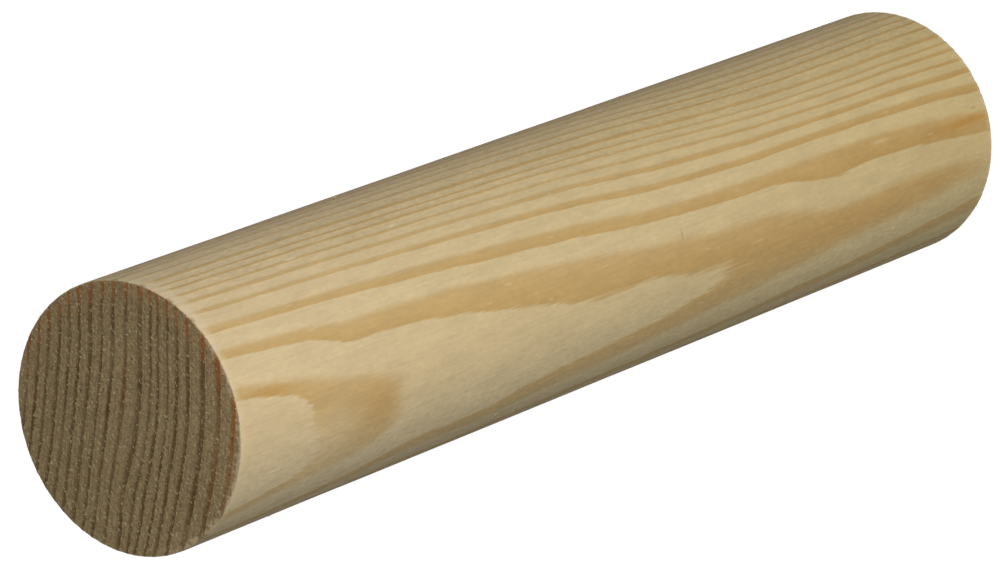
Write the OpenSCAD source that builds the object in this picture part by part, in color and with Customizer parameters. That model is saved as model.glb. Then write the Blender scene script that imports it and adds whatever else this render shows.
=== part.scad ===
// Plain softwood dowel rod: machined round, sawn square at both ends, no finish.
// It stands on its foot end. The axis is +Z and the origin is the centre of the foot.

/* [Rod] */
// Diameter of the rod
rod_d = 30; // [10:0.5:80]
// Length between the two sawn ends
rod_len = 150; // [40:1:1000]

/* [Arrises] */
// Radius left on the arris at each sawn end
arris_r = 0.2; // [0.05:0.05:1]

/* [Torn fibres] */
// Width of the widest fibre torn out of an arris by the saw
tear_w = 1; // [0.6:0.1:2.5]
// Depth of that tear below the flank, at the sawn end
tear_depth = 0.2; // [0.1:0.05:0.6]
// How far along the flank the tear runs before it comes out
tear_run = 1.6; // [1:0.1:6]

/* [Hidden] */

rod_r = rod_d / 2;
past = 1; // how far a cutter runs clear of the wood

// Tears round each end: [angle round the rod from +X, size as a share of the widest]
foot_tears = [[-41, 0.5], [-50, 0.7], [-58, 0.8], [-81, 1], [-88, 0.8], [128, 0.7], [137, 0.5]];
head_tears = [[-20, 0.5], [-34, 0.5], [-48, 0.7], [-61, 0.6], [-163, 0.5], [74, 0.6]];

$fn = 96;

// Half of the rod's long section, from the axis out to the flank
module half_section() {
    square([rod_r - arris_r, rod_len]);
    translate([0, arris_r])
        square([rod_r, rod_len - 2 * arris_r]);
    for (z = [arris_r, rod_len - arris_r])
        translate([rod_r - arris_r, z])
            circle(r = arris_r);
}

// Round gouge that takes one torn fibre out of the foot arris, at angle 0.
// It is deepest at the sawn end and climbs out through the flank.
module tear(share) {
    w = tear_w * share;
    deep = tear_depth * share;
    run = tear_run * share;
    gouge_r = (w * w / 4 + deep * deep) / (2 * deep);
    climb = atan(deep / run);
    translate([rod_r - deep, 0, 0])
        rotate([0, climb, 0])
            translate([gouge_r, 0, -past])
                cylinder(r = gouge_r, h = run + 2 * past);
}

// All the tears round one end, cut upwards from the plane z = 0
module tears(list) {
    for (t = list)
        rotate([0, 0, t[0]])
            tear(t[1]);
}

module dowel() {
    color("burlywood")
        difference() {
            rotate_extrude()
                half_section();
            tears(foot_tears);
            translate([0, 0, rod_len])
                mirror([0, 0, 1])
                    tears(head_tears);
        }
}

dowel();
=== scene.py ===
"""A plain softwood dowel rod, machined round and sawn off square, standing on its foot end."""
import math

import bpy
import numpy as np
from mathutils import Matrix, Vector


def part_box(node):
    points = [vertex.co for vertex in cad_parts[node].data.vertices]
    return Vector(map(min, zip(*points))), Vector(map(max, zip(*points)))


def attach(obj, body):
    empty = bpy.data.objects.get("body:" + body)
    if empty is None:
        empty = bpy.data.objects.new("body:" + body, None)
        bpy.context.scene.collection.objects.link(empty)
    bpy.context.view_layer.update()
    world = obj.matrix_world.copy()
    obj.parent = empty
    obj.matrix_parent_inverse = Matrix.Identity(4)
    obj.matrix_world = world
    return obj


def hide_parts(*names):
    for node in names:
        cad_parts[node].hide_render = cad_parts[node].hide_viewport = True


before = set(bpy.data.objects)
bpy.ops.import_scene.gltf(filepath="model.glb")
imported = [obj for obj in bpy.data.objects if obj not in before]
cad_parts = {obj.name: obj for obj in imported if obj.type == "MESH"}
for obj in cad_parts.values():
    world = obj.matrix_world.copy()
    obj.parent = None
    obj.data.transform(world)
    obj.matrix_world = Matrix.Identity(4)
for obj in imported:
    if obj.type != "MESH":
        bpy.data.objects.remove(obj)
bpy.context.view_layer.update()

# ---------------------------------------------------------------- sizes

MM = 0.001
foot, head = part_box("dowel")
ROD_R = (head.x - foot.x) / 2
ROD_LEN = head.z - foot.z
ARRIS_R = 0.2 * MM

# Fibres that the saw tore out of the arrises: (degrees round the rod from +X, share of the widest)
TEAR_DEPTH = 0.1 * MM   # half as deep as the CAD's, so that the arris keeps its smooth outline
TEAR_W = 1.0 * MM
TEAR_RUN = 1.6 * MM
FOOT_TEARS = [(-41, 0.5), (-50, 0.7), (-58, 0.8), (-81, 1), (-88, 0.8), (128, 0.7), (137, 0.5)]
HEAD_TEARS = [(-20, 0.5), (-34, 0.5), (-48, 0.7), (-61, 0.6), (-163, 0.5), (74, 0.6)]

# The tree that the rod was cut from. Everything here is in millimetres and degrees.
BARK_SIDE = -122.75     # direction, round from +X, in which the tree grew outward
RING_BEND = 0.010       # how much a ring bends over a millimetre: the pith is 100 mm off
LEAN = 5.0              # how far the rings drift towards the bark from the head to the foot
# Ring widths from the bark side inward, and the place of the first ring's outer edge
OUTERMOST_EDGE = 20.0
RING_WIDTHS = [2.2, 2.2, 2.1, 1.9, 2.0, 2.05, 1.4, 1.25, 1.2, 1.0, 1.1, 1.85, 1.5, 1.35, 1.4, 1.65,
               1.55, 1.45, 1.65, 1.4, 1.3, 1.5, 1.35, 1.6, 1.3, 1.45, 1.5, 1.3]

# Soft bells in the wood: (height, depth towards the bark, sideways), the three radii, the amount.
# Here the rings swell outward, or fall back where the amount is negative.
SWELLS = [
    ((64, 12, 13), (25, 4, 7.5), 0.89),
    ((38, 0.5, 14), (26, 8.5, 14), 1.6),
    ((109, 15, 1), (45, 12, 8.5), 1.3),
    ((116, 15, -14), (8, 12, 8.5), 0.69),
    ((133, -4.5, -2.5), (45, 5, 14), -1.2),
    ((137, 15, 0), (8, 6, 4), 0.24),
    ((127, 13.3, 7), (9, 4, 3), 0.22),
    ((85, 14.5, 4.5), (12, 4, 3), 0.13),
    ((33, 14.5, 4), (10, 5, 2.5), 0.35),
    ((0, 15, 0.5), (25, 8, 3), -0.65),
    ((116, 15, -1), (6, 5, 6), 0.16),
    ((127, 15, -1.5), (5.5, 5, 4), -0.2),
    ((140, 14.4, 4.8), (7, 3, 2.6), -0.2),
    ((140, 14.3, -5.2), (7, 3, 2.6), -0.14),
    ((129.5, 12.7, 8.2), (3.5, 2.5, 3), 0.2),
    ((37, 13.8, 5.8), (6, 3, 2), 0.2),
    ((48, 13.9, 6), (5, 3, 3), -0.1),
    ((150, 0.5, -8.5), (40, 2.5, 4), -0.5),
    ((150, -6.5, 11), (40, 5, 3.5), -0.5),
]
# Here the summer wood takes up more of its ring, or less.
WIDE_SUMMER = [
    ((100, 13.5, 6), (28, 4, 6), 0.22),
    ((25, 13, 7.5), (35, 4, 5), 0.20),
    ((4, 15, 0), (32, 3, 4), 0.13),
    ((146, 14, 5.3), (10, 3, 4), -0.1),
    ((139, 14.4, 4.8), (6, 3, 2.6), -0.06),
    ((142, 13.4, -6.8), (8, 3, 3), -0.1),
    ((139, 14.3, -5.2), (6, 3, 2.6), -0.05),
]
# Here it is pale and grey instead of orange.
FADED_SUMMER = [((134.5, 15, -1.6), (6, 5, 3.5), 0.7), ((0, 15, 0), (5, 5, 4), 0.7),
                ((75, 6.2, 13.6), (100, 2.4, 4), 0.28)]
# Here it holds more resin and is a deeper orange.
RESIN = [((3, 13.7, 6.2), (9, 0.45, 0.5), 1.0), ((30, 15, -1), (16, 3, 3), 0.3),
         ((125, 15, 0), (4, 3, 3), 0.35), ((144, 13.9, 5.8), (3.5, 0.8, 0.8), 0.5)]
# Here, on the sawn ends, it is rusty.
RUST = [((150, -0.8, 3.5), (20, 0.7, 4), 0.4), ((150, 11.8, 0), (20, 0.8, 9), 0.45),
        ((150, 13.9, 0), (20, 0.8, 7), 0.6)]
# Small knocks that left a grey tick across the grain.
TICKS = [((67.2, 13.8, 5.7), (0.12, 0.8, 0.55), 0.35), ((2.9, 13.1, 7.3), (0.5, 0.5, 0.12), 0.3)]
# Pale scratches, a fibre or two wide.
SCRATCHES = [
    ((143.5, 14.7, -3.0), (1.1, 0.6, 0.11), 0.55),
    ((123, 14.5, -4.0), (1.3, 0.6, 0.1), 0.4),
    ((129.4, 4.2, 14.4), (0.9, 0.16, 0.6), 0.7),
    ((111.7, 4.6, 14.3), (0.7, 0.15, 0.6), 0.55),
    ((72.5, 14.6, -3.3), (1.3, 0.6, 0.1), 0.35),
    ((52, 14.9, 1.8), (1.7, 0.6, 0.08), 0.3),
    ((24, 13.0, 7.3), (1.5, 0.08, 0.4), 0.3),
]
# Here the saw bruised a wider band of the flank than it did elsewhere.
BRUISES = [((150, 3.5, 14.5), (20, 7, 5), 1.5)]
# Degrees round from +X to where the saw came out of the wood.
SAW_EXIT = -125


# ---------------------------------------------------------------- helpers

def linear(code):
    """An sRGB hex colour as the linear RGBA that a shader takes."""
    parts = [int(code[i:i + 2], 16) / 255 for i in (1, 3, 5)]
    return (*[c / 12.92 if c <= 0.04045 else ((c + 0.055) / 1.055) ** 2.4 for c in parts], 1.0)


def add(tree, kind, *feeds, **settings):
    """Adds one node and returns its main output, or the node if it has none.

    kind may end in an operation, such as "ShaderNodeMath:ADD". A feed is a socket or a value for
    the next input, None to skip one, or a dict of inputs by name. settings are the node's own."""
    idname, _, operation = kind.partition(":")
    node = tree.nodes.new(idname)
    if operation:
        settings["operation"] = operation
    for name, value in settings.items():
        setattr(node, name, value)
    live = [s for s in node.inputs if s.enabled]
    given = {}
    for place, feed in enumerate(feeds):
        if isinstance(feed, dict):
            given.update(feed)
        elif feed is not None:
            given[place] = feed
    for key, value in given.items():
        socket = live[key] if isinstance(key, int) else next(s for s in live if s.name == key)
        if isinstance(value, bpy.types.NodeSocket):
            tree.links.new(value, socket)
        else:
            socket.default_value = value
    outputs = [s for s in node.outputs if s.enabled]
    return outputs[0] if outputs else node


MATH, VECTOR = "ShaderNodeMath:", "ShaderNodeVectorMath:"
WAVE_UNIT = 0.314       # how long one wave of Blender's wave texture is at a scale of 1


def bearing(degrees):
    """The level unit vector that points this many degrees round from +X."""
    a = math.radians(degrees)
    return (math.cos(a), math.sin(a), 0.0)


def split(tree, vector):
    """The X, Y and Z of a vector."""
    return add(tree, "ShaderNodeSeparateXYZ", vector).node.outputs[:3]


def ramp(tree, value, low, high, start=0.0, stop=1.0, kind="SMOOTHSTEP"):
    """Goes from start to stop, and no further, as value goes from low to high."""
    return add(tree, "ShaderNodeMapRange",
               {"Value": value, "From Min": low, "From Max": high, "To Min": start, "To Max": stop},
               interpolation_type=kind)


def noise(tree, place, swings, detail=2.0, roughness=0.5):
    """Noise from 0 to 1. swings is how many there are to a unit of place: one number, or one each way."""
    if isinstance(swings, tuple):
        place = add(tree, VECTOR + "MULTIPLY", place, swings)
        swings = 1.0
    return add(tree, "ShaderNodeTexNoise", place,
               {"Scale": swings, "Detail": detail, "Roughness": roughness})


def mixed(tree, share, under, over):
    """The colour under where share is 0 and over where it is 1. Each is a socket or a hex code."""
    under, over = [linear(c) if isinstance(c, str) else c for c in (under, over)]
    return add(tree, "ShaderNodeMix", share, {"A": under, "B": over}, data_type="RGBA")


def shaded(tree, colour, shade):
    """A colour made darker or lighter by a factor."""
    return add(tree, "ShaderNodeMix", 1.0, {"A": colour, "B": shade}, data_type="RGBA",
               blend_type="MULTIPLY")


# ---------------------------------------------------------------- the wood's inside

def bells(tree, turned, places):
    """Adds up bell shapes at places in the wood, each given as in SWELLS."""
    total = 0.0
    for (up, out, along), (r_up, r_out, r_along), amount in places:
        away = add(tree, VECTOR + "MULTIPLY_ADD", turned, (1 / r_out, 1 / r_along, 1 / r_up),
                   (-out / r_out, -along / r_along, -up / r_up))
        away_2 = add(tree, VECTOR + "DOT_PRODUCT", away, away)
        bell = add(tree, MATH + "POWER", math.exp(-1), away_2)
        total = add(tree, MATH + "MULTIPLY_ADD", bell, amount, total)
    return total


def growth_rings(tree, mm):
    """Adds the rings of the tree to a shader or a geometry tree.

    mm is a place on the rod in millimetres. Returns the place turned so that its X grows towards
    the bark, the depth of its ring towards the bark, and how dark the wood is there: 0 in the pale
    spring wood and 1 at the outer edge of a ring."""
    turned = add(tree, "ShaderNodeVectorRotate", mm, {"Angle": math.radians(-BARK_SIDE)},
                 rotation_type="Z_AXIS")
    bark, side, height = split(tree, turned)
    side_2 = add(tree, MATH + "MULTIPLY", side, side)
    depth = add(tree, MATH + "MULTIPLY_ADD", side_2, RING_BEND / 2, bark)
    depth = add(tree, MATH + "MULTIPLY_ADD", height, LEAN / (ROD_LEN / MM), depth)
    depth = add(tree, MATH + "SUBTRACT", depth, LEAN)
    depth = add(tree, MATH + "SUBTRACT", depth, bells(tree, turned, SWELLS))
    # slow waves 20 mm long, then the ragged edge that single fibres give, 0.3 mm across
    waves = noise(tree, mm, (0.16, 0.16, 0.05), detail=1.0)
    ragged = noise(tree, mm, (3.2, 3.2, 0.16))
    for wander, reach in ((waves, 0.30), (ragged, 0.20)):
        wander = add(tree, MATH + "SUBTRACT", wander, 0.5)
        depth = add(tree, MATH + "MULTIPLY_ADD", wander, reach, depth)

    # the rings are counted from the inside out: the whole part is the ring, the rest the place in it
    whole = sum(RING_WIDTHS)
    across = ramp(tree, depth, OUTERMOST_EDGE - whole, OUTERMOST_EDGE, kind="LINEAR")
    count = add(tree, "ShaderNodeFloatCurve", {"Value": across})
    curve = count.node.mapping.curves[0]
    spots = [(1 - sum(RING_WIDTHS[:i]) / whole, 1 - i / len(RING_WIDTHS))
             for i in range(len(RING_WIDTHS), -1, -1)]
    curve.points[0].location = spots[0]
    curve.points[1].location = spots[-1]
    for spot in spots[1:-1]:
        curve.points.new(*spot)
    for point in curve.points:
        point.handle_type = "VECTOR"
    count.node.mapping.update()
    number = add(tree, MATH + "MULTIPLY", count, float(len(RING_WIDTHS)))
    phase = add(tree, MATH + "FRACT", number)
    chance = add(tree, "ShaderNodeTexWhiteNoise", {"W": add(tree, MATH + "FLOOR", number)},
                 noise_dimensions="1D")

    # summer wood starts past the middle of its ring, sooner in one ring than in another, and deepens
    # up to the ring's outer edge, where it stops almost at once
    start = add(tree, MATH + "MULTIPLY_ADD", chance, 0.12, 0.52)
    start = add(tree, MATH + "SUBTRACT", start, bells(tree, turned, WIDE_SUMMER))
    full = add(tree, MATH + "ADD", start, 0.21)
    rise = ramp(tree, phase, start, full)
    deepen = ramp(tree, phase, start, 0.97, 0.68, 1.0, kind="LINEAR")
    stop = ramp(tree, phase, 0.965, 1.0, 1.0, 0.0)
    dark = add(tree, MATH + "MULTIPLY", rise, deepen)
    dark = add(tree, MATH + "MULTIPLY", dark, stop)
    return turned, depth, dark


def torn_pocket_shade():
    """Dark bells in the pockets that the torn fibres left, painted shade for these hollows, given as in
    TICKS.
    """
    places = []
    for up, torn in ((0, FOOT_TEARS), (ROD_LEN / MM, HEAD_TEARS)):
        for degrees, _ in torn:
            out, along, _ = bearing(degrees - BARK_SIDE)
            spot = (up, ROD_R / MM * out, ROD_R / MM * along)
            places.append((spot, (0.4, 0.35, 0.35), 0.8))
    return places


def blank_material(name):
    """A new material: its tree, its shader, and the place on the piece in millimetres."""
    material = bpy.data.materials.new(name)
    material.use_nodes = True
    tree = material.node_tree
    place = add(tree, "ShaderNodeTexCoord").node.outputs["Object"]
    mm = add(tree, VECTOR + "SCALE", place, {"Scale": 1 / MM})
    return material, tree, tree.nodes["Principled BSDF"], mm


def long_grain_pine():
    """Pine machined round with a cutter and left bare: pale spring wood and orange summer wood,
    a dull surface with the fibres running along the rod and faint ripples from the knives."""
    material, tree, shader, mm = blank_material("pine_long_grain_machined")
    turned, _, dark = growth_rings(tree, mm)
    x, _, height = split(tree, mm)
    dark = add(tree, MATH + "MULTIPLY", dark,
               add(tree, MATH + "SUBTRACT", 1.0, bells(tree, turned, FADED_SUMMER)))

    # creamy at the head and yellower at the foot, with slow clouds 10 mm across and 40 mm long
    clouds = noise(tree, mm, (0.10, 0.10, 0.025))
    clouds = add(tree, MATH + "MULTIPLY_ADD", clouds, 0.5, -0.25)
    up = ramp(tree, height, 0.0, ROD_LEN / MM, kind="LINEAR")
    up = add(tree, MATH + "ADD", up, clouds)
    spring = mixed(tree, up, "#CEB886", "#D9C298")
    summer = mixed(tree, up, "#BF9C61", "#C9A870")
    summer = mixed(tree, bells(tree, turned, RESIN), summer, "#BD873A")
    colour = mixed(tree, dark, spring, summer)

    # fibres 0.25 mm across and some 8 mm long, a mottle of shorter ones, and bundles of fibres that
    # take the light a little differently, 1.5 mm across and 5 mm long
    fibre = noise(tree, mm, (4.0, 4.0, 0.12), 3.0, 0.6)
    mottle = noise(tree, mm, (2.3, 2.3, 0.9), 3.0, 0.7)
    bundle = noise(tree, mm, (0.65, 0.65, 0.2))
    # the cutter lifted the grain on the sides that face +X and -X, where it crosses the rings
    lifted = ramp(tree, add(tree, MATH + "ABSOLUTE", x), 6.0, 14.0, 0.05, 0.15)
    shade = 1.0
    for tone, most in ((fibre, 0.04), (mottle, lifted), (bundle, 0.045)):
        tone = ramp(tree, tone, 0.3, 0.7, -1.0, 1.0, kind="LINEAR")
        tone = add(tree, MATH + "MULTIPLY_ADD", tone, most, 1.0)
        shade = add(tree, MATH + "MULTIPLY", shade, tone)
    colour = shaded(tree, colour, shade)

    # the flank is paler towards the side that faces +X, and on the side that faces -X a painted cool grey
    # shade stands for the bluish light in the shade there
    paler_plus_x = ramp(tree, x, 10.0, 14.6, stop=0.17)
    colour = mixed(tree, paler_plus_x, colour, "#E6DAC3")
    # painted shade: a cool grey on the side that faces -X
    painted_cool_shade = ramp(tree, x, -14.0, -6.0, 0.16, 0.0)
    colour = mixed(tree, painted_cool_shade, colour, "#A8B4A4")

    # resin canals 0.2 mm across, cut along their length by the cutter
    canal = add(tree, VECTOR + "MULTIPLY", mm, (0.9, 0.9, 0.16))
    canal = add(tree, "ShaderNodeTexVoronoi", canal, {"Scale": 1.0})
    canal = ramp(tree, canal, 0.04, 0.12, 0.25, 0.0)
    colour = mixed(tree, canal, colour, "#E8DAB6")
    colour = mixed(tree, bells(tree, turned, SCRATCHES), colour, "#EFE2C0")

    # the last millimetre or two before a sawn end is bruised and pale, with a ragged limit
    from_end = add(tree, MATH + "MINIMUM", height, add(tree, MATH + "SUBTRACT", ROD_LEN / MM, height))
    bruised = add(tree, MATH + "SUBTRACT", from_end, bells(tree, turned, BRUISES))
    bruised = add(tree, MATH + "MULTIPLY_ADD", mottle, -2.0, bruised)
    bruised = ramp(tree, bruised, -1.5, 0.3, 0.7, 0.0)
    colour = mixed(tree, bruised, colour, "#E0CDA8")
    # grey ticks where the rod was knocked, and painted shade in the pockets of the torn fibres
    colour = mixed(tree, bells(tree, turned, TICKS + torn_pocket_shade()), colour, "#4A4638")
    tree.links.new(colour, shader.inputs["Base Color"])

    rough = ramp(tree, fibre, 0.0, 1.0, 0.6, 0.8, kind="LINEAR")
    tree.links.new(rough, shader.inputs["Roughness"])
    shader.inputs["Specular IOR Level"].default_value = 0.02

    # knife marks cross the rod every 0.5 mm; the summer wood stands a little proud
    ripple = add(tree, "ShaderNodeTexWave", mm, {"Scale": WAVE_UNIT / 0.5, "Distortion": 0.8, "Detail": 1.0},
                 bands_direction="Z")
    relief = add(tree, MATH + "MULTIPLY_ADD", ripple, 0.08, fibre)
    relief = add(tree, MATH + "MULTIPLY_ADD", mottle, add(tree, MATH + "MULTIPLY", lifted, 5.0), relief)
    relief = add(tree, MATH + "MULTIPLY_ADD", dark, 0.4, relief)
    normal = add(tree, "ShaderNodeBump", {"Strength": 0.6, "Distance": 0.03 * MM, "Height": relief})
    tree.links.new(normal, shader.inputs["Normal"])
    return material


def end_grain_pine():
    """Pine sawn across the fibres: the cut ends of the cells drink the light, so it is darker and
    greyer than the flank, fuzzy, with broken brown rings, pits and pale flecks of torn fibre."""
    material, tree, shader, mm = blank_material("pine_end_grain_sawn")
    # the saw drags the fibres about, so the rings wander by a tenth of a millimetre
    tufts = noise(tree, mm, 1.3)
    drag = add(tree, VECTOR + "SUBTRACT", tufts.node.outputs["Color"], (0.5, 0.5, 0.5))
    dragged = add(tree, VECTOR + "MULTIPLY_ADD", drag, (0.35, 0.35, 0.0), mm)
    turned, depth, dark = growth_rings(tree, dragged)
    x, y, _ = split(tree, mm)

    # a ring is strong in one place and weak in another
    strength = noise(tree, turned, (0.9, 0.16, 0.0))
    strength = ramp(tree, strength, 0.3, 0.7, 0.5, 1.0, kind="LINEAR")
    # where the summer wood comes out at the arris it is rusty and its rings are broader, but not on the side
    # that faces -X and +Y. On the side that faces +X and -Y, which the main lamp lights, this paler rim also
    # stands for the light that the arris catches, a painted highlight
    out = add(tree, VECTOR + "LENGTH", add(tree, "ShaderNodeCombineXYZ", x, y))
    rim = ramp(tree, out, ROD_R / MM - 3.2, ROD_R / MM - 0.4)
    corner = add(tree, MATH + "SUBTRACT", x, y)
    facing = ramp(tree, corner, -14.0, 8.0)
    rust_and_lit_rim = add(tree, MATH + "MULTIPLY", rim, facing)
    rust_and_lit_rim = add(tree, MATH + "MAXIMUM", rust_and_lit_rim, bells(tree, turned, RUST))
    breadth = add(tree, MATH + "MULTIPLY_ADD", rust_and_lit_rim, -0.4, 0.7)
    dark = add(tree, MATH + "MULTIPLY", add(tree, MATH + "POWER", dark, breadth), strength)
    # false rings: faint lines some 0.5 mm apart inside the true ones
    false_ring = add(tree, MATH + "MULTIPLY_ADD", strength, 6.0, add(tree, MATH + "MULTIPLY", depth, 12.5))
    false_ring = add(tree, MATH + "SINE", false_ring)
    false_ring = ramp(tree, false_ring, 0.2, 1.0, stop=0.22)
    dark = add(tree, MATH + "MAXIMUM", dark, false_ring)

    clouds = noise(tree, mm, 0.15)
    spring = mixed(tree, clouds, "#B2996D", "#C2A97B")
    # rusty summer wood at the rim; on the lamp side it is also a painted highlight
    summer = mixed(tree, rust_and_lit_rim, "#65481D", "#B46C2D")
    colour = mixed(tree, dark, spring, summer)

    # the youngest rings, towards the bark, are a little paler than the old ones
    age = ramp(tree, split(tree, turned)[0], -15.0, 15.0, 0.93, 1.07, kind="LINEAR")
    # cut cells: grains 0.3 mm across, each paler or darker, with a pit or a fleck here and there
    grains = add(tree, "ShaderNodeTexVoronoi", dragged, {"Scale": 3.4})
    lot = split(tree, grains.node.outputs["Color"])[0]
    pits = noise(tree, mm, 4.2, 3.0, 0.7)
    speck = ramp(tree, pits, 0.3, 0.7, 0.8, 1.2, kind="LINEAR")
    patch = ramp(tree, lot, 0.0, 1.0, 0.84, 1.16, kind="LINEAR")
    shade = add(tree, MATH + "MULTIPLY", add(tree, MATH + "MULTIPLY", speck, patch), age)
    colour = shaded(tree, colour, shade)

    # the saw's teeth left pale flecks and nicks, 0.3 mm by 0.5 mm, all lying one way; the nicks are painted
    # dark, as painted shade in their hollows
    stroke = add(tree, "ShaderNodeVectorRotate", mm, {"Angle": math.radians(168)}, rotation_type="Z_AXIS")
    for offset, low, most, tint in ((0.0, 0.59, 0.7, "#F0E2B8"), (9.0, 0.58, 0.5, "#46351D")):
        marks = add(tree, VECTOR + "MULTIPLY_ADD", stroke, (2.1, 3.6, 1.0), (offset, 0.0, 0.0))
        marks = noise(tree, marks, 1.0)
        marks = ramp(tree, marks, low, low + 0.1, stop=most)
        colour = mixed(tree, marks, colour, tint)

    # on the side that the saw came out of, the last 0.5 mm before the flank is a pale fuzz of bent fibres
    fuzz = add(tree, MATH + "ADD", pits, out)
    fuzz = add(tree, MATH + "MULTIPLY_ADD", tufts, 2.0, fuzz)
    toward = add(tree, VECTOR + "DOT_PRODUCT", mm, bearing(SAW_EXIT))
    toward = ramp(tree, toward, 4.0, 12.0, stop=0.9)
    fuzz = ramp(tree, fuzz, ROD_R / MM + 0.8, ROD_R / MM + 1.25, stop=toward)
    fuzz = add(tree, MATH + "MULTIPLY", fuzz, add(tree, MATH + "SUBTRACT", 1.0, dark))
    colour = mixed(tree, fuzz, colour, "#F0D6AC")
    tree.links.new(colour, shader.inputs["Base Color"])
    shader.inputs["Roughness"].default_value = 0.85
    shader.inputs["Specular IOR Level"].default_value = 0.15
    relief = add(tree, MATH + "MULTIPLY_ADD", grains, -0.5, pits)
    # the nicks, which were the last of the marks, are cut in
    relief = add(tree, MATH + "MULTIPLY_ADD", marks, -0.4, relief)
    normal = add(tree, "ShaderNodeBump", {"Strength": 0.8, "Distance": 0.12 * MM, "Height": relief})
    tree.links.new(normal, shader.inputs["Normal"])
    return material


def loose_fibre_pine():
    """Single fibres torn free: dry, almost white, and dull. They catch the light on the dark ends."""
    material, tree, shader, mm = blank_material("pine_fibre_torn_dry")
    some = noise(tree, mm, 0.8)
    colour = mixed(tree, some, "#CDB17C", "#E3CE9E")
    tree.links.new(colour, shader.inputs["Base Color"])
    shader.inputs["Roughness"].default_value = 0.7
    shader.inputs["Specular IOR Level"].default_value = 0.3
    return material


# ---------------------------------------------------------------- the rod

FLOAT, INT = "NodeSocketFloat", "NodeSocketInt"


def new_geometry_tree(name, inputs):
    """A geometry tree with these number inputs. Returns it, its input sockets and its input ids."""
    tree = bpy.data.node_groups.new(name, "GeometryNodeTree")
    ids = {}
    for label, kind in inputs:
        ids[label] = tree.interface.new_socket(label, in_out="INPUT", socket_type=kind).identifier
    tree.interface.new_socket("Geometry", in_out="OUTPUT", socket_type="NodeSocketGeometry")
    group_in = add(tree, "NodeGroupInput").node
    return tree, {s.name: s for s in group_in.outputs if s.name}, ids


def built_piece(name, tree, ids, values):
    """Runs a geometry tree once, with its inputs set, and returns the result as a plain mesh."""
    piece = bpy.data.objects.new(name, bpy.data.meshes.new(name))
    bpy.context.scene.collection.objects.link(piece)
    nodes = piece.modifiers.new("build", "NODES")
    nodes.node_group = tree
    for label, value in values.items():
        nodes[ids[label]] = value
    bpy.context.view_layer.update()
    built = piece.evaluated_get(bpy.context.evaluated_depsgraph_get())
    mesh = bpy.data.meshes.new_from_object(built)
    piece.modifiers.remove(nodes)
    piece.data = mesh
    mesh.name = name
    return piece


def tears(tree, toward, along, places, depth_in, run_in, width_in, radius_in):
    """How deep the torn fibres of one end go at each point, as the CAD's gouges do.

    toward is the unit vector out from the axis, along is the distance from the sawn end."""
    deepest = None
    for degrees, share in places:
        depth = add(tree, MATH + "MULTIPLY", depth_in, float(share))
        width = add(tree, MATH + "MULTIPLY", width_in, share / 2)
        chord = add(tree, VECTOR + "DISTANCE", toward, bearing(degrees))
        arc = add(tree, MATH + "MULTIPLY", chord, radius_in)
        bend = add(tree, MATH + "DIVIDE", arc, width)
        bend = add(tree, MATH + "MULTIPLY", bend, bend)
        slope = add(tree, MATH + "DIVIDE", along, run_in)
        slope = add(tree, MATH + "DIVIDE", slope, float(share))
        left = add(tree, MATH + "SUBTRACT", 1.0, bend)
        left = add(tree, MATH + "SUBTRACT", left, slope)
        cut = add(tree, MATH + "MULTIPLY", left, depth)
        deepest = cut if deepest is None else add(tree, MATH + "MAXIMUM", deepest, cut)
    return add(tree, MATH + "MAXIMUM", deepest, 0.0)


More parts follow.
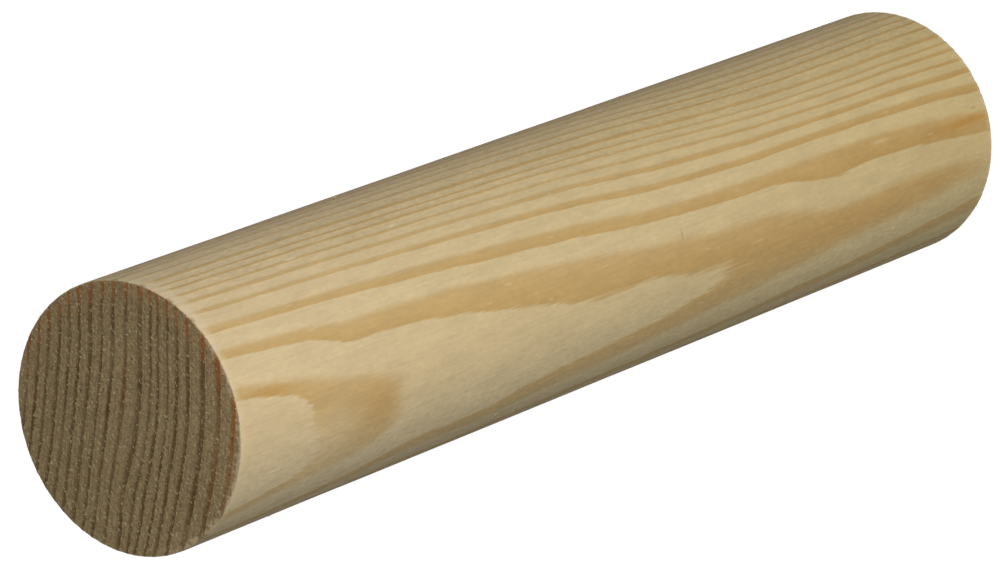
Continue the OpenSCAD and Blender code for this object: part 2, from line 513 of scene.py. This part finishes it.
def rod_tree(flank_finish, end_finish):
    """The rod as one closed skin: a box of square cells whose sides are drawn out to the round.

    The cells crowd towards the arrises, where the shape is finest."""
    tree, given, ids = new_geometry_tree("turned_rod", [
        ("Radius", FLOAT), ("Length", FLOAT), ("Arris Radius", FLOAT), ("Cells Across", INT),
        ("Rows Along", INT), ("Tear Depth", FLOAT), ("Tear Width", FLOAT), ("Tear Run", FLOAT),
        ("Saw Fuzz", FLOAT), ("Frayed Arris", FLOAT), ("Raised Grain", FLOAT),
    ])
    box = add(tree, "GeometryNodeMeshCube",
              {"Size": (2, 2, 2), "Vertices X": given["Cells Across"],
               "Vertices Y": given["Cells Across"], "Vertices Z": given["Rows Along"]})
    normal = split(tree, add(tree, "GeometryNodeInputNormal"))[2]
    normal = add(tree, MATH + "ABSOLUTE", normal)
    sawn = add(tree, "FunctionNodeCompare", {"A": normal, "B": 0.5}, operation="GREATER_THAN")
    box = add(tree, "GeometryNodeSetMaterial", {"Geometry": box, "Material": flank_finish})
    box = add(tree, "GeometryNodeSetMaterial",
              {"Geometry": box, "Selection": sawn, "Material": end_finish})

    # square to round: each square of cells becomes a circle
    spot = add(tree, "GeometryNodeInputPosition")
    x, y, z = split(tree, spot)
    far = add(tree, MATH + "MAXIMUM", add(tree, MATH + "ABSOLUTE", x), add(tree, MATH + "ABSOLUTE", y))
    toward = add(tree, VECTOR + "NORMALIZE", add(tree, "ShaderNodeCombineXYZ", x, y))
    crowd = add(tree, MATH + "SINE", add(tree, MATH + "MULTIPLY", far, math.pi / 2))
    share = add(tree, MATH + "MULTIPLY_ADD", far, 0.5, add(tree, MATH + "MULTIPLY", crowd, 0.5))
    radius = add(tree, MATH + "MULTIPLY", share, given["Radius"])
    lift = add(tree, MATH + "SINE", add(tree, MATH + "MULTIPLY", z, math.pi / 2))
    lift = add(tree, MATH + "MULTIPLY_ADD", lift, 0.5, 0.5)
    height = add(tree, MATH + "MULTIPLY", lift, given["Length"])

    # ease the arris: push each point out from the core that is one arris radius inside
    core_r = add(tree, MATH + "SUBTRACT", given["Radius"], given["Arris Radius"])
    core_r = add(tree, MATH + "MINIMUM", radius, core_r)
    core_top = add(tree, MATH + "SUBTRACT", given["Length"], given["Arris Radius"])
    core_z = add(tree, MATH + "MAXIMUM", height, given["Arris Radius"])
    core_z = add(tree, MATH + "MINIMUM", core_z, core_top)
    out = add(tree, "ShaderNodeCombineXYZ", add(tree, MATH + "SUBTRACT", radius, core_r), 0.0,
              add(tree, MATH + "SUBTRACT", height, core_z))
    out = add(tree, VECTOR + "SCALE", add(tree, VECTOR + "NORMALIZE", out),
              {"Scale": given["Arris Radius"]})
    section = add(tree, VECTOR + "ADD", out, add(tree, "ShaderNodeCombineXYZ", core_r, 0.0, core_z))
    radius, _, height = split(tree, section)
    upright = add(tree, "ShaderNodeCombineXYZ", 0.0, 0.0, height)
    place = add(tree, VECTOR + "ADD", add(tree, VECTOR + "SCALE", toward, {"Scale": radius}), upright)

    # torn fibres at each end
    from_head = add(tree, MATH + "SUBTRACT", given["Length"], height)
    sizes = (given["Tear Depth"], given["Tear Run"], given["Tear Width"], given["Radius"])
    torn = add(tree, MATH + "MAXIMUM", tears(tree, toward, height, FOOT_TEARS, *sizes),
               tears(tree, toward, from_head, HEAD_TEARS, *sizes))
    to_axis = add(tree, MATH + "DIVIDE", radius, given["Radius"])
    rim = ramp(tree, to_axis, 0.86, 1.0)

    # fuzz on the sawn ends and grain raised on the flank; both only ever go into the wood
    mm = add(tree, VECTOR + "SCALE", place, {"Scale": 1 / MM})
    dark = growth_rings(tree, mm)[2]
    spring = add(tree, MATH + "SUBTRACT", 1.0, dark)
    fuzz = noise(tree, mm, 2.0, 3.0, 0.7)
    end_gap = add(tree, MATH + "MINIMUM", height, from_head)
    on_end = ramp(tree, end_gap, 0.0, 0.3 * MM, 1.0, 0.0, kind="LINEAR")
    inward = ramp(tree, lift, 0.0, 1.0, 1.0, -1.0, kind="LINEAR")
    pulled = add(tree, MATH + "MULTIPLY_ADD", spring, 0.25, fuzz)
    pulled = add(tree, MATH + "MULTIPLY", add(tree, MATH + "MULTIPLY", pulled, given["Saw Fuzz"]), on_end)
    pulled = add(tree, MATH + "MULTIPLY", pulled, inward)
    sunk = add(tree, MATH + "MULTIPLY", spring, given["Raised Grain"])
    frayed = add(tree, MATH + "MULTIPLY", add(tree, MATH + "MULTIPLY", fuzz, on_end), given["Frayed Arris"])
    inset = add(tree, MATH + "ADD", add(tree, MATH + "ADD", torn, sunk), frayed)
    radius = add(tree, MATH + "SUBTRACT", radius, add(tree, MATH + "MULTIPLY", inset, rim))
    upright = add(tree, "ShaderNodeCombineXYZ", 0.0, 0.0, add(tree, MATH + "ADD", height, pulled))
    place = add(tree, VECTOR + "ADD", add(tree, VECTOR + "SCALE", toward, {"Scale": radius}), upright)
    skin = add(tree, "GeometryNodeSetPosition", {"Geometry": box, "Position": place})
    skin = add(tree, "GeometryNodeSetShadeSmooth", {"Geometry": skin})
    skin = add(tree, "GeometryNodeRealizeInstances", {"Geometry": skin})
    add(tree, "NodeGroupOutput", skin)
    return tree, ids


def every(items, field, kind=float, width=1):
    """One field of all of a mesh's vertices, corners or faces, as an array."""
    values = np.empty(len(items) * width, kind)
    items.foreach_get(field, values)
    return values.reshape(-1, width) if width > 1 else values


def lay_out_map(mesh):
    """Gives the skin its own map: the flank unrolled in one sheet and the two sawn faces beside it."""
    side = max(ROD_LEN, 2 * math.pi * ROD_R + 2 * ROD_R) * 1.02
    gap = 0.005 * side
    sheet = mesh.uv_layers.new(name="OFBake")
    # for each corner of each face: where it is, where the middle of its face is, and of which kind
    spots = every(mesh.vertices, "co", width=3)[every(mesh.loops, "vertex_index", int)]
    face = np.repeat(np.arange(len(mesh.polygons)), every(mesh.polygons, "loop_total", int))
    centres = every(mesh.polygons, "center", width=3)[face]
    on_end = every(mesh.polygons, "material_index", int)[face] == 1
    # unrolled from a seam on the side away from the bark
    seam = math.radians(BARK_SIDE + 180)
    turn = (np.arctan2(centres[:, 1], centres[:, 0]) - seam) % (2 * math.pi)
    corner = np.arctan2(spots[:, 1], spots[:, 0]) - seam
    corner = turn + (corner - turn + math.pi) % (2 * math.pi) - math.pi
    u = np.where(on_end, spots[:, 0] + np.where(centres[:, 2] > ROD_LEN / 2, 3, 1) * (ROD_R + gap),
                 spots[:, 2] + gap)
    v = np.where(on_end, spots[:, 1] + 2 * math.pi * ROD_R + ROD_R + 3 * gap, corner * ROD_R + gap)
    sheet.data.foreach_set("uv", np.stack([u / side, v / side], 1).ravel())


def make_rod():
    """The dowel itself, in place of its plain CAD solid."""
    tree, ids = rod_tree(long_grain_pine(), end_grain_pine())
    rod = built_piece("dowel_rod", tree, ids, {
        "Radius": ROD_R, "Length": ROD_LEN, "Arris Radius": ARRIS_R,
        "Cells Across": 141, "Rows Along": 91,
        "Tear Depth": TEAR_DEPTH, "Tear Width": TEAR_W, "Tear Run": TEAR_RUN,
        "Saw Fuzz": 0.10 * MM, "Frayed Arris": 0.05 * MM, "Raised Grain": 0.02 * MM,
    })
    lay_out_map(rod.data)
    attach(rod, "root")
    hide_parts("dowel")


# ---------------------------------------------------------------- loose fibres

def bristles(tree, hair, count, seed, ring, level, lean, long, thick, favour=None):
    """Stands hairs on the rod and returns them as instances.

    ring is the range of their distance from the axis and level that of their height. lean gives
    the ranges of how much they point outward, sideways and up. long is the range of their length
    and thick their width at the foot. favour is a direction in degrees round which they are longest."""
    def between(limits, step):
        return add(tree, "FunctionNodeRandomValue",
                   {"Min": limits[0], "Max": limits[1], "Seed": add(tree, MATH + "ADD", seed, float(step))})
    angle = between((-math.pi, math.pi), 1)
    toward = add(tree, "ShaderNodeCombineXYZ", add(tree, MATH + "COSINE", angle),
                 add(tree, MATH + "SINE", angle))
    # taking the root of an even spread keeps the hairs evenly spaced over a disc
    spread = add(tree, MATH + "POWER", between((ring[0] ** 2, ring[1] ** 2), 2), 0.5)
    upright = add(tree, "ShaderNodeCombineXYZ", 0.0, 0.0, between(level, 3))
    place = add(tree, VECTOR + "MULTIPLY_ADD", toward, spread, upright)
    points = add(tree, "GeometryNodePoints", {"Count": count, "Position": place})
    sideways = add(tree, VECTOR + "CROSS_PRODUCT", (0, 0, 1), toward)
    point = add(tree, VECTOR + "SCALE", toward, {"Scale": between(lean[0], 4)})
    point = add(tree, VECTOR + "MULTIPLY_ADD", sideways, between(lean[1], 5), point)
    point = add(tree, VECTOR + "ADD", point, add(tree, "ShaderNodeCombineXYZ", 0.0, 0.0, between(lean[2], 6)))
    turn = add(tree, "FunctionNodeAlignRotationToVector", {"Vector": point}, axis="Z")
    # they stand in tufts
    tufts = noise(tree, place, 0.7 / MM, detail=1.0)
    tufts = ramp(tree, tufts, 0.4, 0.65, 0.35, 1.0, kind="LINEAR")
    length = add(tree, MATH + "MULTIPLY", between(long, 7), tufts)
    if favour is not None:
        facing = add(tree, VECTOR + "DOT_PRODUCT", toward, bearing(favour))
        facing = ramp(tree, facing, 0.2, 0.9, 0.2, 1.0, kind="LINEAR")
        length = add(tree, MATH + "MULTIPLY", length, facing)
    size = add(tree, "ShaderNodeCombineXYZ", thick, thick, length)
    return add(tree, "GeometryNodeInstanceOnPoints", points,
               {"Instance": hair, "Rotation": turn, "Scale": size})


def fibre_tree(finish):
    """Fibres that the saw and the cutter raised: a fringe on each arris, flecks on the head's face
    and a few hairs on the flank. Each is a thin closed cone with its foot in the wood."""
    tree, given, ids = new_geometry_tree("raised_fibres", [
        ("Head Fringe", INT), ("Foot Fringe", INT), ("Face Flecks", INT), ("Flank Hairs", INT),
        ("Thickness", FLOAT), ("Seed", INT),
    ])
    hair = add(tree, "GeometryNodeMeshCone",
               {"Vertices": 4, "Radius Top": 0.0, "Radius Bottom": 0.5, "Depth": 1.0})
    thick, seed = given["Thickness"], given["Seed"]
    rim, low, top = ROD_R - 0.08 * MM, 0.1 * MM, ROD_LEN - 0.1 * MM
    seeds = [add(tree, MATH + "ADD", seed, 10.0 * i) for i in range(4)]
    groups = [
        bristles(tree, hair, given["Head Fringe"], seeds[0], (rim - 0.1 * MM, rim), (top, top),
                 ((0.1, 0.9), (-0.9, 0.9), (-0.1, 0.7)), (0.2 * MM, 0.6 * MM), thick, -45),
        bristles(tree, hair, given["Foot Fringe"], seeds[1], (rim, rim), (low, 2 * low),
                 ((0.4, 1.0), (-0.6, 0.6), (0.0, 0.8)), (0.1 * MM, 0.2 * MM), thick),
        bristles(tree, hair, given["Face Flecks"], seeds[2], (0.0, rim), (top, top),
                 ((-0.6, 0.6), (-0.6, 0.6), (0.4, 1.0)), (0.12 * MM, 0.25 * MM),
                 add(tree, MATH + "MULTIPLY", thick, 1.5)),
        bristles(tree, hair, given["Flank Hairs"], seeds[3], (rim, rim), (3 * MM, ROD_LEN - 3 * MM),
                 ((0.05, 0.12), (-0.05, 0.05), (0.8, 1.0)), (0.7 * MM, 2.0 * MM), thick),
    ]
    joined = add(tree, "GeometryNodeJoinGeometry")
    for group in groups:
        tree.links.new(group, joined.node.inputs[0])
    solid = add(tree, "GeometryNodeRealizeInstances", joined)
    solid = add(tree, "GeometryNodeSetMaterial", {"Geometry": solid, "Material": finish})
    add(tree, "NodeGroupOutput", solid)
    return tree, ids


def make_fibres():
    """The loose fibres, which go wherever the rod goes."""
    tree, ids = fibre_tree(loose_fibre_pine())
    fibres = built_piece("torn_fibres", tree, ids, {
        "Head Fringe": 450, "Foot Fringe": 150, "Face Flecks": 420, "Flank Hairs": 400,
        "Thickness": 0.11 * MM, "Seed": 7,
    })
    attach(fibres, "root")


# ---------------------------------------------------------------- studio

def stand_off(thing, aim, distance, azimuth, elevation, roll=0.0):
    """Places a camera or a lamp at a distance from the point that it looks at.

    Azimuth 0 looks along +Y."""
    turn = Matrix.Rotation(math.radians(azimuth), 4, "Z")
    turn = turn @ Matrix.Rotation(math.radians(90 - elevation), 4, "X")
    turn = turn @ Matrix.Rotation(math.radians(roll), 4, "Z")
    thing.matrix_world = Matrix.Translation(aim) @ turn @ Matrix.Translation((0, 0, distance))
    bpy.context.scene.collection.objects.link(thing)


def make_camera():
    """A long lens above the rod, rolled so that the head end comes to the lower left."""
    lens = bpy.data.cameras.new("camera")
    lens.lens = 230
    lens.sensor_width = 36
    lens.clip_start = 0.05
    lens.clip_end = 20
    camera = bpy.data.objects.new("camera", lens)
    stand_off(camera, Vector((-0.00066, 0, 0.0830)), distance=0.7226, azimuth=0.084,
              elevation=51.69, roll=-110.81)
    bpy.context.scene.camera = camera


def make_lamp(name, azimuth, elevation, level, size, distance=1.2):
    """A soft square lamp. level is the brightness that it gives to a white sheet facing it."""
    lamp = bpy.data.lights.new(name, "AREA")
    lamp.shape = "SQUARE"
    lamp.size = size
    lamp.energy = level * math.pi ** 2 * distance ** 2
    body = bpy.data.objects.new(name, lamp)
    body.visible_camera = False
    stand_off(body, Vector((0, 0, ROD_LEN / 2)), distance, azimuth, elevation)


def seen_directly(tree):
    """1 for what the camera sees, straight or in a reflection, and 0 for light that falls on things."""
    rays = add(tree, "ShaderNodeLightPath").node.outputs
    seen = add(tree, MATH + "MAXIMUM", rays["Is Camera Ray"], rays["Is Glossy Ray"])
    return add(tree, MATH + "MAXIMUM", seen, rays["Is Transmission Ray"])


def make_room():
    """A room that looks white and gives only a little light of its own."""
    scene = bpy.context.scene
    scene.view_settings.view_transform = "Standard"
    scene.world = bpy.data.worlds.new("room")
    scene.world.use_nodes = True
    tree = scene.world.node_tree
    tree.nodes.clear()
    strength = ramp(tree, seen_directly(tree), 0.0, 1.0, 0.05, 1.0, kind="LINEAR")
    room = add(tree, "ShaderNodeBackground", {"Color": (1, 1, 1, 1), "Strength": strength})
    add(tree, "ShaderNodeOutputWorld", {"Surface": room})


def make_floor(half=6.0):
    """A pale floor that looks white but for the rod's shadow, and fades into the white room."""
    mesh = bpy.data.meshes.new("floor")
    mesh.from_pydata([(-half, -half, 0), (half, -half, 0), (half, half, 0), (-half, half, 0)], [],
                     [(0, 1, 2, 3)])
    floor = bpy.data.objects.new("floor", mesh)
    bpy.context.scene.collection.objects.link(floor)
    paper, tree, shader, mm = blank_material("pale_paper_matt")
    shader.inputs["Base Color"].default_value = linear("#BCBCBC")
    shader.inputs["Roughness"].default_value = 0.9
    shader.inputs["Specular IOR Level"].default_value = 0.0
    shader.inputs["Emission Color"].default_value = (1, 1, 1, 1)
    away = add(tree, VECTOR + "LENGTH", mm)
    glow = ramp(tree, away, 150.0, 700.0, 0.88, 1.0)
    glow = add(tree, MATH + "MULTIPLY", glow, seen_directly(tree))
    tree.links.new(glow, shader.inputs["Emission Strength"])
    mesh.materials.append(paper)


make_camera()
make_room()
make_floor()
make_lamp("main_lamp", azimuth=5, elevation=20, level=0.815, size=0.6)
make_lamp("back_lamp", azimuth=185, elevation=9, level=0.6, size=0.4)
make_rod()
make_fibres()
